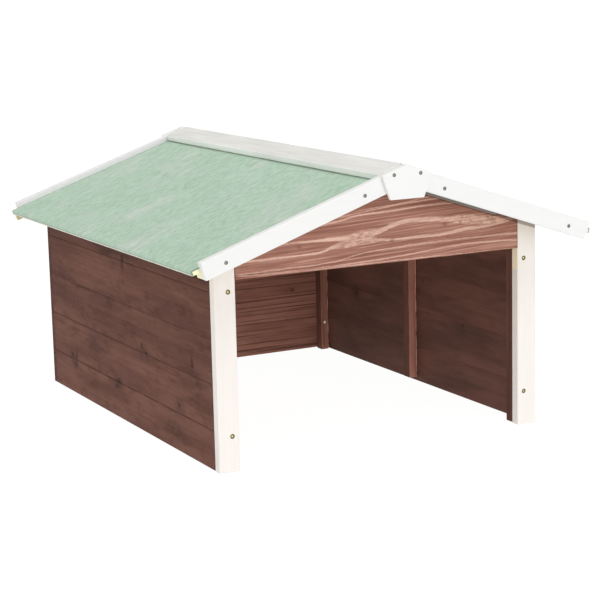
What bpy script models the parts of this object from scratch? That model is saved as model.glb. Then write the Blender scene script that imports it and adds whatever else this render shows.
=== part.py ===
"""Open-fronted timber shelter for small animals, with a felted gable roof.

X runs across the shelter, Y from its front to its back and Z up. The origin is on the
ground, in the middle of the box that holds the whole shelter. Lengths are in metres.
"""

import math

import bmesh
import bpy
from mathutils import Vector

# Driving dimensions of the house and of the roof over it
BODY_WIDTH = 0.600  # over the outer faces of the side walls
BODY_DEPTH = 0.757  # front face of the posts to outer face of the back wall
WALL_HEIGHT = 0.3525  # side wall, at its outer face
ROOF_PITCH = math.radians(18.7)
EAVE_OVERHANG = 0.0655
FRONT_OVERHANG = 0.084  # to the front ridge plate's face
REAR_OVERHANG = 0.029

GAP = 0.0003  # between pieces that touch

# Tongue and groove boards
WALL_THICKNESS = 0.012
BOARD_COVER = 0.074  # from one seam to the next
FIRST_SEAM = 0.067  # height of the lowest seam
NARROWEST_TOP_BOARD = 0.030
WALL_LIFT = 0.002  # the walls hang this far clear of the ground
TONGUE_THICKNESS = 0.004
TONGUE_HEIGHT = 0.004
TONGUE_CLEARANCE = 0.0003
SEAM_CHAMFER = 0.0004

# Posts, gable and the battens inside
POST_WIDTH = 0.0365
POST_THICKNESS = 0.017
POST_ROUNDING = 0.0015
GABLE_THICKNESS = 0.012
GABLE_END_DEPTH = 0.0575  # height of the gable board where it meets a post
BATTEN_ROUNDING = 0.0008
BATTEN_WIDTH = 0.0205
BATTEN_THICKNESS = 0.0165
FRONT_BATTEN_WIDTH = 0.022
FRONT_BATTEN_THICKNESS = 0.021
MIDDLE_BATTEN_LIFT = 0.009  # clear of the ground

# Roof layers, each measured square to the slope
CAP_WIDTH = 0.045
CAP_THICKNESS = 0.011
FELT_THICKNESS = 0.0015
DECK_THICKNESS = 0.007
LIP_DEPTH = 0.007  # felt folded down over the edge of the deck
TRIM_ROUNDING = 0.0012  # edges of the barge boards, ridge caps and ridge plates
BARGE_HEIGHT = 0.030
BARGE_THICKNESS = 0.0125
BARGE_DROP = 0.002  # top edge below the top of the ridge caps
BARGE_SETBACK = 0.0137  # lower end back from the eave
ROOF_BATTEN_WIDTH = 0.020
ROOF_BATTEN_REBATE = 0.009
ROOF_BATTEN_BELOW_BARGE = 0.003
ROOF_BATTEN_RELIEF = 0.004  # the lower stretch is this much shallower
ROOF_BATTEN_RELIEF_RUN = 0.200
ROOF_BATTEN_TAIL = 0.0065  # depth left where it shows past the end of the barge board
PLATE_THICKNESS = 0.007
PLATE_HALF_WIDTH = 0.045
PLATE_FOOT_HALF_WIDTH = 0.0305
PLATE_HEIGHT = 0.0545

# Countersunk screws
SCREW_CLEARANCE = 0.0002
SCREW_SINK = 0.0003
SHANK_RADIUS = 0.0015
SMALL_HEAD_RADIUS = 0.0031
LARGE_HEAD_RADIUS = 0.0039
HEAD_DEPTH = 0.0024
BARGE_SCREW_LENGTH = 0.020
PLATE_SCREW_LENGTH = 0.016
POST_SCREW_LENGTH = 0.034
BATTEN_SCREW_LENGTH = 0.026
BARGE_SCREW_FROM_RIDGE = 0.083
BARGE_SCREW_FROM_END = 0.039
BARGE_SCREW_BELOW_TOP = 0.017
PLATE_SCREW_FROM_MIDDLE = 0.024
PLATE_SCREW_BELOW_EDGE = 0.007
POST_SCREW_FROM_OUTSIDE = 0.024
POST_SCREW_BELOW_GABLE = 0.018
POST_SCREW_ABOVE_GROUND = 0.0585
BATTEN_SCREW_ABOVE_GROUND = 0.0565

SLOPE_COS = math.cos(ROOF_PITCH)
SLOPE_SIN = math.sin(ROOF_PITCH)
SLOPE_TAN = math.tan(ROOF_PITCH)

# Levels in the roof, measured down from the top of the ridge caps
FELT_TOP = CAP_THICKNESS + GAP
FELT_UNDER = FELT_TOP + FELT_THICKNESS
DECK_TOP = FELT_UNDER + GAP
DECK_UNDER = DECK_TOP + DECK_THICKNESS
ROOF_SEAT = DECK_UNDER + GAP
BARGE_FOOT = BARGE_DROP + BARGE_HEIGHT

HALF_BODY = BODY_WIDTH / 2
HALF_WIDTH = HALF_BODY + EAVE_OVERHANG
HALF_LENGTH = (BODY_DEPTH + FRONT_OVERHANG + REAR_OVERHANG) / 2
RIDGE_HEIGHT = WALL_HEIGHT + HALF_BODY * SLOPE_TAN + ROOF_SEAT / SLOPE_COS
EAVE_RUN = (HALF_WIDTH + FELT_TOP * SLOPE_SIN) / SLOPE_COS

POST_FRONT = FRONT_OVERHANG - HALF_LENGTH
POST_BACK = POST_FRONT + POST_THICKNESS
WALL_BACK = HALF_LENGTH - REAR_OVERHANG
BACK_WALL_FRONT = WALL_BACK - WALL_THICKNESS
BARGE_FACE = HALF_LENGTH - PLATE_THICKNESS - GAP
BARGE_INSIDE = BARGE_FACE - BARGE_THICKNESS
BARGE_RUN = EAVE_RUN - BARGE_SETBACK

FINISHES = {
    "stain": {"color": (0.140, 0.063, 0.048, 1), "roughness": 0.62, "metallic": 0.0},
    "white": {"color": (0.870, 0.860, 0.830, 1), "roughness": 0.42, "metallic": 0.0},
    "felt": {"color": (0.440, 0.640, 0.500, 1), "roughness": 0.90, "metallic": 0.0},
    "pine": {"color": (0.700, 0.520, 0.300, 1), "roughness": 0.65, "metallic": 0.0},
    "zinc": {"color": (0.520, 0.480, 0.380, 1), "roughness": 0.35, "metallic": 1.0},
}


def roof_point(side, run, depth, y=0.0):
    """A point of the roof: run down the slope from the ridge, depth square below it."""
    x = side * (run * SLOPE_COS - depth * SLOPE_SIN)
    return Vector((x, y, RIDGE_HEIGHT - run * SLOPE_SIN - depth * SLOPE_COS))


def seat_height(x):
    """Height of the surface that carries the roof, at a distance x from the middle."""
    return RIDGE_HEIGHT - abs(x) * SLOPE_TAN - ROOF_SEAT / SLOPE_COS


def ridge_run(depth):
    """Run at which a layer at this depth meets the upright plane through the ridge."""
    return depth * SLOPE_TAN + GAP / 2 / SLOPE_COS


def give_material(obj, finish):
    values = FINISHES[finish]
    material = bpy.data.materials.new(f"{obj.name}_{finish}")
    material.use_nodes = True
    shader = material.node_tree.nodes["Principled BSDF"]
    shader.inputs["Base Color"].default_value = values["color"]
    shader.inputs["Roughness"].default_value = values["roughness"]
    shader.inputs["Metallic"].default_value = values["metallic"]
    material.diffuse_color = values["color"]
    obj.data.materials.append(material)


def add_object(name, bm, finish=None, parent=None):
    bmesh.ops.recalc_face_normals(bm, faces=bm.faces)
    mesh = bpy.data.meshes.new(name)
    bm.to_mesh(mesh)
    bm.free()
    obj = bpy.data.objects.new(name, mesh)
    bpy.context.collection.objects.link(obj)
    obj.parent = parent
    if finish:
        give_material(obj, finish)
    else:
        obj.hide_render = True
        obj.display_type = "WIRE"
    return obj


def extrusion(name, outline, travel, finish=None, parent=None):
    """A solid with the outline, a list of points in space, as its section."""
    bm = bmesh.new()
    face = bm.faces.new([bm.verts.new(point) for point in outline])
    swept = bmesh.ops.extrude_face_region(bm, geom=[face], use_keep_orig=True)
    moved = [item for item in swept["geom"] if isinstance(item, bmesh.types.BMVert)]
    bmesh.ops.translate(bm, verts=moved, vec=travel)
    return add_object(name, bm, finish, parent)


def soften(obj, width, segments=2):
    bevel = obj.modifiers.new("soften", "BEVEL")
    bevel.width = width
    bevel.segments = segments
    bevel.limit_method = "ANGLE"
    bevel.use_clamp_overlap = True
    return bevel


def boolean(obj, cutter, operation="DIFFERENCE"):
    modifier = obj.modifiers.new(f"{operation.lower()}_{cutter.name}", "BOOLEAN")
    modifier.operation = operation
    modifier.solver = "EXACT"
    modifier.object = cutter


def along_y(points, start, end):
    """Outline and travel for a section of (x, z) points drawn out along Y."""
    return [Vector((x, start, z)) for x, z in points], Vector((0, end - start, 0))


# Walls

def board_section(bottom, top, grooved, tongued, rise=0.0):
    """Section of a wall board as (in from the outer face, height) points.

    The rise is how much higher the inner edge is where a top board is cut to the roof.
    """
    middle = WALL_THICKNESS / 2
    tongue = TONGUE_THICKNESS / 2
    groove = tongue + TONGUE_CLEARANCE
    chamfer = SEAM_CHAMFER
    low, high = bottom + GAP / 2, top - GAP / 2
    points = []
    if grooved:
        points += [(chamfer, low), (0, low + chamfer)]
    else:
        points += [(0, bottom)]
    if tongued:
        points += [(0, high - chamfer), (chamfer, high), (middle - tongue, high)]
        points += [(middle - tongue, high + TONGUE_HEIGHT), (middle + tongue, high + TONGUE_HEIGHT)]
        points += [(middle + tongue, high), (WALL_THICKNESS - chamfer, high)]
        points += [(WALL_THICKNESS, high - chamfer)]
    else:
        points += [(0, top), (WALL_THICKNESS, top + rise)]
    if grooved:
        roof = low + TONGUE_HEIGHT + GAP + TONGUE_CLEARANCE
        points += [(WALL_THICKNESS, low + chamfer), (WALL_THICKNESS - chamfer, low)]
        points += [(middle + groove, low), (middle + groove, roof)]
        points += [(middle - groove, roof), (middle - groove, low)]
    else:
        points += [(WALL_THICKNESS, bottom)]
    return points


def board_edges(top):
    """Heights of a wall's board edges, from its foot to its top."""
    edges = [WALL_LIFT, FIRST_SEAM]
    while edges[-1] + BOARD_COVER < top - NARROWEST_TOP_BOARD:
        edges.append(edges[-1] + BOARD_COVER)
    return edges + [top]


def side_wall(side, label, parent):
    edges = board_edges(WALL_HEIGHT)
    start, end = POST_BACK + GAP, BACK_WALL_FRONT - GAP
    for i, (low, high) in enumerate(zip(edges, edges[1:])):
        tongued = high < WALL_HEIGHT
        section = board_section(low, high, i > 0, tongued, WALL_THICKNESS * SLOPE_TAN)
        points = [(side * (HALF_BODY - inward), z) for inward, z in section]
        outline, travel = along_y(points, start, end)
        extrusion(f"{label}_wall_board_{i + 1}", outline, travel, "stain", parent)


def back_wall(parent):
    """Boards across the whole width, cut to the slopes where they reach the roof."""
    half = HALF_BODY + GAP
    slopes = [(-half, 0), (half, 0), (half, seat_height(half))]
    slopes += [(0, seat_height(0)), (-half, seat_height(half))]
    reach = 2 * WALL_THICKNESS
    shape = extrusion("gable_shape", *along_y(slopes, WALL_BACK - reach, WALL_BACK + reach))
    apex = seat_height(0)
    edges = board_edges(apex)
    travel = Vector((BODY_WIDTH, 0, 0))
    boards = []
    for i, (low, high) in enumerate(zip(edges, edges[1:])):
        section = board_section(low, high, i > 0, high < apex)
        outline = [Vector((-HALF_BODY, WALL_BACK - inward, z)) for inward, z in section]
        board = extrusion(f"back_wall_board_{i + 1}", outline, travel, "stain", parent)
        if high + TONGUE_HEIGHT > seat_height(HALF_BODY):
            boolean(board, shape, "INTERSECT")
        boards.append(board)
    return boards


# Frame

def front_post(side, label, parent):
    inner = HALF_BODY - POST_WIDTH
    points = [(side * inner, 0), (side * HALF_BODY, 0)]
    points += [(side * HALF_BODY, seat_height(HALF_BODY)), (side * inner, seat_height(inner))]
    outline, travel = along_y(points, POST_FRONT, POST_BACK)
    post = extrusion(f"{label}_front_post", outline, travel, "white", parent)
    soften(post, POST_ROUNDING)
    return post


def gable_foot():
    return seat_height(HALF_BODY - POST_WIDTH) - GABLE_END_DEPTH


def front_gable(parent):
    end = HALF_BODY - POST_WIDTH - GAP
    points = [(-end, gable_foot()), (end, gable_foot())]
    points += [(end, seat_height(end)), (0, seat_height(0)), (-end, seat_height(end))]
    outline, travel = along_y(points, POST_FRONT, POST_FRONT + GABLE_THICKNESS)
    return extrusion("front_gable_board", outline, travel, "stain", parent)


def upright_batten(name, side, start, width, thickness, foot, parent):
    outer = HALF_BODY - WALL_THICKNESS - GAP
    inner = outer - thickness
    points = [(side * inner, foot), (side * outer, foot)]
    points += [(side * outer, seat_height(outer)), (side * inner, seat_height(inner))]
    outline, travel = along_y(points, start, start + width)
    batten = extrusion(name, outline, travel, "stain", parent)
    soften(batten, BATTEN_ROUNDING)
    return batten


def battens(side, label, parent):
    """The three uprights that a side wall's boards are fixed to, front to back."""
    front = POST_BACK + GAP
    rear = BACK_WALL_FRONT - GAP - BATTEN_WIDTH
    middle = (front + FRONT_BATTEN_WIDTH + rear - BATTEN_WIDTH) / 2
    return {
        "front": upright_batten(
            f"{label}_front_batten", side, front, FRONT_BATTEN_WIDTH, FRONT_BATTEN_THICKNESS, 0, parent
        ),
        "middle": upright_batten(
            f"{label}_middle_batten", side, middle, BATTEN_WIDTH, BATTEN_THICKNESS,
            MIDDLE_BATTEN_LIFT, parent
        ),
        "rear": upright_batten(
            f"{label}_rear_batten", side, rear, BATTEN_WIDTH, BATTEN_THICKNESS, 0, parent
        ),
    }


# Roof

def roof_layer(name, side, levels, runs, span, finish, parent):
    """A flat board on one slope, mitred at the ridge when its upper run is None."""
    (top, under), (upper, lower), (start, end) = levels, runs, span
    high_top, high_under = (ridge_run(top), ridge_run(under)) if upper is None else (upper, upper)
    corners = [(high_top, top), (lower, top), (lower, under), (high_under, under)]
    outline = [roof_point(side, run, depth, start) for run, depth in corners]
    return extrusion(name, outline, Vector((0, end - start, 0)), finish, parent)


def roof_deck(side, label, parent):
    front = -BARGE_INSIDE + ROOF_BATTEN_WIDTH - ROOF_BATTEN_REBATE + GAP
    lower = EAVE_RUN - FELT_THICKNESS - GAP
    span = (front, WALL_BACK)
    levels = (DECK_TOP, DECK_UNDER)
    return roof_layer(f"{label}_roof_deck", side, levels, (None, lower), span, "pine", parent)


def roof_felt(side, label, parent):
    """A sheet over the whole slope, with a lip folded down over the eave."""
    start, end = -BARGE_INSIDE + GAP, BARGE_INSIDE - GAP
    lip = EAVE_RUN - FELT_THICKNESS
    corners = [(ridge_run(FELT_TOP), FELT_TOP), (EAVE_RUN, FELT_TOP)]
    corners += [(EAVE_RUN, FELT_UNDER + LIP_DEPTH), (lip, FELT_UNDER + LIP_DEPTH)]
    corners += [(lip, FELT_UNDER), (ridge_run(FELT_UNDER), FELT_UNDER)]
    outline = [roof_point(side, run, depth, start) for run, depth in corners]
    return extrusion(f"{label}_roof_felt", outline, Vector((0, end - start, 0)), "felt", parent)


def front_roof_batten(side, label, parent):
    """Carries the front barge board and, on its rebate, the front edge of the deck."""
    front = -BARGE_INSIDE + GAP
    shoulder = front + ROOF_BATTEN_WIDTH - ROOF_BATTEN_REBATE - GAP
    back = front + ROOF_BATTEN_WIDTH - GAP
    foot = BARGE_FOOT + ROOF_BATTEN_BELOW_BARGE
    upper = ridge_run(foot)
    section = [(front, DECK_TOP), (shoulder, DECK_TOP), (shoulder, ROOF_SEAT)]
    section += [(back, ROOF_SEAT), (back, foot), (front, foot)]
    outline = [roof_point(side, upper, depth, y) for y, depth in section]
    lower = EAVE_RUN - FELT_THICKNESS - GAP
    travel = roof_point(side, lower, 0) - roof_point(side, upper, 0)
    batten = extrusion(f"{label}_front_roof_batten", outline, travel, "white", parent)
    span = (front - ROOF_BATTEN_WIDTH, back + ROOF_BATTEN_WIDTH)
    cuts = {
        "relief": (foot - ROOF_BATTEN_RELIEF, ROOF_BATTEN_RELIEF_RUN),
        "tail": (DECK_TOP + ROOF_BATTEN_TAIL, BARGE_RUN),
    }
    for cut, (level, start) in cuts.items():
        levels, runs = (level, foot + ROOF_BATTEN_WIDTH), (start, EAVE_RUN + ROOF_BATTEN_WIDTH)
        boolean(batten, roof_layer(f"{label}_batten_{cut}", side, levels, runs, span, None, None))
    return batten


def rear_roof_batten(side, label, parent):
    """Fills the narrow space between the back wall and the rear barge board."""
    levels = (DECK_TOP, BARGE_FOOT - GAP)
    runs = (ridge_run(BARGE_FOOT), EAVE_RUN - FELT_THICKNESS - GAP)
    span = (WALL_BACK + GAP, BARGE_INSIDE - GAP)
    return roof_layer(f"{label}_rear_roof_batten", side, levels, runs, span, "white", parent)


def barge_board(side, label, end, parent):
    span = sorted((end * BARGE_FACE, end * BARGE_INSIDE))
    name = f"{label}_{'front' if end < 0 else 'rear'}_barge_board"
    levels = (BARGE_DROP, BARGE_FOOT)
    barge = roof_layer(name, side, levels, (None, BARGE_RUN), span, "white", parent)
    soften(barge, TRIM_ROUNDING)
    return barge


def ridge_cap(side, label, parent):
    levels = (0, CAP_THICKNESS)
    span = (-BARGE_INSIDE + GAP, BARGE_INSIDE - GAP)
    name = f"{label}_ridge_cap"
    cap = roof_layer(name, side, levels, (None, CAP_WIDTH), span, "white", parent)
    soften(cap, TRIM_ROUNDING)


def ridge_plate(end, parent):
    shoulder = RIDGE_HEIGHT - PLATE_HALF_WIDTH * SLOPE_TAN
    foot = RIDGE_HEIGHT - PLATE_HEIGHT
    points = [(-PLATE_FOOT_HALF_WIDTH, foot), (PLATE_FOOT_HALF_WIDTH, foot)]
    points += [(PLATE_HALF_WIDTH, shoulder), (0, RIDGE_HEIGHT), (-PLATE_HALF_WIDTH, shoulder)]
    start, stop = sorted((end * HALF_LENGTH, end * (HALF_LENGTH - PLATE_THICKNESS)))
    outline, travel = along_y(points, start, stop)
    plate = extrusion(f"{'front' if end < 0 else 'rear'}_ridge_plate", outline, travel, "white", parent)
    soften(plate, TRIM_ROUNDING)
    return plate


# Screws

def turned(name, profile, turns, finish=None, parent=None):
    """A solid turned about Y from (radius, y) points, the first and last on the axis."""
    bm = bmesh.new()
    rings = []
    for radius, y in profile:
        if radius == 0:
            rings.append([bm.verts.new((0, y, 0))])
            continue
        angles = [2 * math.pi * i / turns for i in range(turns)]
        rings.append([bm.verts.new((radius * math.cos(a), y, radius * math.sin(a))) for a in angles])
    for inner, outer in zip(rings, rings[1:]):
        for i in range(turns):
            corners = [inner[i % len(inner)], inner[(i + 1) % len(inner)]]
            corners += [outer[(i + 1) % len(outer)], outer[i % len(outer)]]
            bm.faces.new(list(dict.fromkeys(corners)))
    return add_object(name, bm, finish, parent)


def screw_profile(head_radius, length, growth=0.0, proud=0.0):
    """Countersunk screw driven towards +Y, with its head's face at y = 0."""
    shank = SHANK_RADIUS + growth
    tip = length + growth
    points = [(0, -proud), (head_radius + growth, -proud), (head_radius + growth, growth)]
    points += [(shank, HEAD_DEPTH + growth), (shank, tip - 2 * SHANK_RADIUS), (0, tip)]
    return points


def screw(name, place, towards, head_radius, length, pieces, parent):
    """A screw with its head's face just under the surface at place, and its holes.

    It points along +Y when towards is 1 and along -Y when it is -1.
    """
    turn = 0.0 if towards > 0 else math.pi
    spot = Vector(place) + Vector((0, towards * SCREW_SINK, 0))
    body = turned(name, screw_profile(head_radius, length), 12, "zinc", parent)
    hole_profile = screw_profile(head_radius, length, SCREW_CLEARANCE, 2 * SCREW_SINK)
    hole = turned(f"{name}_hole", hole_profile, 12)
    for obj in (body, hole):
        obj.rotation_euler = (0, 0, turn)
        obj.location = spot
    body.data.shade_smooth()
    body.data.set_sharp_from_angle(angle=math.radians(40))
    for piece in pieces:
        boolean(piece, hole)


def barge_screws(side, label, end, barge, batten, parent):
    depth = BARGE_DROP + BARGE_SCREW_BELOW_TOP
    runs = {"upper": BARGE_SCREW_FROM_RIDGE, "lower": BARGE_RUN - BARGE_SCREW_FROM_END}
    for level, run in runs.items():
        place = roof_point(side, run, depth, end * BARGE_FACE)
        name = f"{label}_{'front' if end < 0 else 'rear'}_barge_screw_{level}"
        screw(name, place, -end, SMALL_HEAD_RADIUS, BARGE_SCREW_LENGTH, [barge, batten], parent)


def plate_screws(end, plate, barges, parent):
    for side, label in SIDES:
        x = side * PLATE_SCREW_FROM_MIDDLE
        z = RIDGE_HEIGHT - PLATE_SCREW_FROM_MIDDLE * SLOPE_TAN - PLATE_SCREW_BELOW_EDGE / SLOPE_COS
        name = f"{'front' if end < 0 else 'rear'}_plate_screw_{label}"
        place = (x, end * HALF_LENGTH, z)
        screw(name, place, -end, SMALL_HEAD_RADIUS, PLATE_SCREW_LENGTH, [plate, barges[side]], parent)


def post_screws(side, label, post, batten, parent):
    x = side * (HALF_BODY - POST_SCREW_FROM_OUTSIDE)
    heights = {"upper": gable_foot() - POST_SCREW_BELOW_GABLE, "lower": POST_SCREW_ABOVE_GROUND}
    for level, z in heights.items():
        name = f"{label}_post_screw_{level}"
        place = (x, POST_FRONT, z)
        screw(name, place, 1, LARGE_HEAD_RADIUS, POST_SCREW_LENGTH, [post, batten], parent)


def rear_batten_screw(side, label, batten, boards, parent):
    x = side * (HALF_BODY - WALL_THICKNESS - GAP - BATTEN_THICKNESS / 2)
    place = (x, BACK_WALL_FRONT - GAP - BATTEN_WIDTH, BATTEN_SCREW_ABOVE_GROUND)
    pieces = [batten] + boards
    name = f"{label}_rear_batten_screw"
    screw(name, place, 1, SMALL_HEAD_RADIUS, BATTEN_SCREW_LENGTH, pieces, parent)


# Assembly

SIDES = ((-1, "left"), (1, "right"))

for old in list(bpy.data.objects):
    bpy.data.objects.remove(old)

shelter = bpy.data.objects.new("shelter", None)
bpy.context.collection.objects.link(shelter)

back_boards = back_wall(shelter)
front_gable(shelter)
front_barges = {}
rear_barges = {}
for side, label in SIDES:
    side_wall(side, label, shelter)
    post = front_post(side, label, shelter)
    uprights = battens(side, label, shelter)
    roof_deck(side, label, shelter)
    roof_felt(side, label, shelter)
    front_batten = front_roof_batten(side, label, shelter)
    rear_batten = rear_roof_batten(side, label, shelter)
    front_barges[side] = barge_board(side, label, -1, shelter)
    rear_barges[side] = barge_board(side, label, 1, shelter)
    ridge_cap(side, label, shelter)
    barge_screws(side, label, -1, front_barges[side], front_batten, shelter)
    barge_screws(side, label, 1, rear_barges[side], rear_batten, shelter)
    post_screws(side, label, post, uprights["front"], shelter)
    rear_batten_screw(side, label, uprights["rear"], back_boards[:2], shelter)

for end, barges in ((-1, front_barges), (1, rear_barges)):
    plate_screws(end, ridge_plate(end, shelter), barges, shelter)
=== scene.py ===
import math
import random

import bmesh
import bpy
from mathutils import Matrix, Vector, noise as field


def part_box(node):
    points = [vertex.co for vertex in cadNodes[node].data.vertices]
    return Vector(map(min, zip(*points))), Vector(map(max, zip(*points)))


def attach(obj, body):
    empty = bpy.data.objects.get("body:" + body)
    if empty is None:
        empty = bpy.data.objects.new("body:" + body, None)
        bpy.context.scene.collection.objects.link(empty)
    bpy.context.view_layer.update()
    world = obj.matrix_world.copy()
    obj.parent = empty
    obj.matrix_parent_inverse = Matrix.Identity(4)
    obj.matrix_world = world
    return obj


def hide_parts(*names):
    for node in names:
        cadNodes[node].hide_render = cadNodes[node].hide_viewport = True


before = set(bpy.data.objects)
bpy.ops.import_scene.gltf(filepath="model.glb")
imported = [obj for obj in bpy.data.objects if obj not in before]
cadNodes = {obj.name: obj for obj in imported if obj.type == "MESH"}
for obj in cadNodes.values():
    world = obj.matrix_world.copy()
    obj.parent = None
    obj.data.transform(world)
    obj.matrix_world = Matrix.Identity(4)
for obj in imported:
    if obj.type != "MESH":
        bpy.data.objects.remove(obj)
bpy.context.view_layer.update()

sides = {"left": -1, "right": 1}
ends = ("front", "rear")

# The roof's own measures, the same as the frame's: depths are square to the slope.
roof = {
    "pitch": math.radians(18.7),
    "feltTop": 0.0113,
    "feltThickness": 0.0015,
    "lip": 0.007,
    "gap": 0.0003,
    "capEdge": 0.045,  # how far down the slope the ridge caps reach
    "bargeFoot": 0.032,
}
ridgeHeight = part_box("front_ridge_plate")[1].z
slopeCos, slopeSin = math.cos(roof["pitch"]), math.sin(roof["pitch"])
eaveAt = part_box("right_roof_felt")[1].x
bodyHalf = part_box("right_wall_board_1")[1].x
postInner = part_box("right_front_post")[0].x
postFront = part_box("right_front_post")[0].y
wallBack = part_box("left_wall_board_1")[1].y
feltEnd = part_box("right_roof_felt")[1].y


def addNode(tree, kind, inputs=None, **settings):
    made = tree.nodes.new("ShaderNode" + kind)
    for name, value in settings.items():
        setattr(made, name, value)
    for socket, value in (inputs or {}).items():
        if isinstance(value, bpy.types.NodeSocket):
            tree.links.new(value, made.inputs[socket])
        else:
            made.inputs[socket].default_value = value
    return made


class Maker:  # short words for the nodes of one finish
    def __init__(self, name, roughness, specular=0.12, metallic=0.0):
        self.finish = bpy.data.materials.new(name)
        self.finish.use_nodes = True
        self.tree = self.finish.node_tree
        self.shader = self.tree.nodes["Principled BSDF"]
        self.shader.inputs["Roughness"].default_value = roughness
        self.shader.inputs["Specular IOR Level"].default_value = specular
        self.shader.inputs["Metallic"].default_value = metallic
        self.place = addNode(self.tree, "TexCoord").outputs["Object"]
        self.x, self.y, self.z = addNode(self.tree, "SeparateXYZ", {0: self.place}).outputs

    def maths(self, operation, first, second=0.0, third=0.0):
        wanted = {0: first, 1: second, 2: third}
        return addNode(self.tree, "Math", wanted, operation=operation).outputs[0]

    def add(self, first, *others):
        for other in others:
            first = self.maths("ADD", first, other)
        return first

    def times(self, first, *others):
        for other in others:
            first = self.maths("MULTIPLY", first, other)
        return first

    def minus(self, first, second):
        return self.maths("SUBTRACT", first, second)

    def between(self, value, low, high):  # 0 at low, 1 at high, eased at both ends
        wanted = {"Value": value, "From Min": low, "From Max": high}
        return addNode(self.tree, "MapRange", wanted, interpolation_type="SMOOTHSTEP").outputs[0]

    def bell(self, value, middle, width):  # 1 at the middle, fading away over the width
        away = self.maths("DIVIDE", self.minus(value, middle), width)
        return self.maths("EXPONENT", self.times(away, away, -1.0))

    def vector(self, first, second, third=0.0):
        return addNode(self.tree, "CombineXYZ", {0: first, 1: second, 2: third}).outputs[0]

    def noise(self, where, stretch, detail=3.0, roughness=0.55, seed=0.0):
        mapping = {"Vector": where, "Scale": stretch, "Location": (seed, seed * 1.7, -seed)}
        moved = addNode(self.tree, "Mapping", mapping, vector_type="POINT").outputs[0]
        wanted = {"Vector": moved, "Scale": 1.0, "Detail": detail, "Roughness": roughness}
        return addNode(self.tree, "TexNoise", wanted).outputs["Fac"]

    def mix(self, amount, first, second, mode="MIX"):
        wanted = {0: amount, 6: first, 7: second}
        return addNode(self.tree, "Mix", wanted, data_type="RGBA", blend_type=mode).outputs[2]

    def slopeRun(self):  # how far down the slope from the ridge
        fall = self.minus(ridgeHeight, self.z)
        return self.add(self.times(self.maths("ABSOLUTE", self.x), slopeCos), self.times(fall, slopeSin))

    def slopeDepth(self):  # how far below the roof's surface, square to it
        fall = self.times(self.minus(ridgeHeight, self.z), slopeCos)
        return self.minus(fall, self.times(self.maths("ABSOLUTE", self.x), slopeSin))

    def shaded(self, tone, shade):
        grey = addNode(self.tree, "CombineColor", {0: shade, 1: shade, 2: shade}).outputs[0]
        return self.mix(1.0, tone, grey, "MULTIPLY")

    def curve(self, value, points, valueReach, resultReach):  # a smooth line through the points
        low, high = valueReach
        least, most = resultReach
        scaled = self.maths("MULTIPLY_ADD", value, 1 / (high - low), -low / (high - low))
        made = addNode(self.tree, "FloatCurve", {"Value": scaled})
        line = made.mapping.curves[0]
        wanted = [((at - low) / (high - low), (result - least) / (most - least)) for at, result in points]
        line.points[0].location, line.points[1].location = wanted[0], wanted[-1]
        for spot in wanted[1:-1]:
            line.points.new(*spot)
        made.mapping.update()
        return self.maths("MULTIPLY_ADD", made.outputs[0], most - least, least)

    def done(self, tone, bump, depth, roughness=None):
        self.tree.links.new(tone, self.shader.inputs["Base Color"])
        if roughness is not None:
            self.tree.links.new(roughness, self.shader.inputs["Roughness"])
        wanted = {"Height": bump, "Distance": depth, "Strength": 1.0}
        made = addNode(self.tree, "Bump", wanted)
        self.tree.links.new(made.outputs[0], self.shader.inputs["Normal"])
        return self.finish


def mirrored(make):
    return make.maths("ABSOLUTE", make.x)


def bargeShadow(make):  # painted shadow cast right under the front barge boards
    onLeft = make.between(make.x, 0.001, -0.001)
    foot = make.maths("MULTIPLY_ADD", onLeft, 0.0040, roof["bargeFoot"] + 0.0006)
    past = make.minus(make.slopeDepth(), foot)
    return make.between(past, 0.0024, 0.0006)


def colour(red, green, blue):  # from the 0 to 255 values of a colour picker
    def linear(level):
        level = level / 255
        return level / 12.92 if level <= 0.04045 else ((level + 0.055) / 1.055) ** 2.4
    return (linear(red), linear(green), linear(blue), 1.0)


def alongGrain(make, grain):  # the place in the timber as (along, across, through)
    orders = {"X": (make.x, make.z, make.y), "Y": (make.y, make.z, make.x), "Z": (make.z, make.x, make.y)}
    return orders[grain]
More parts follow.
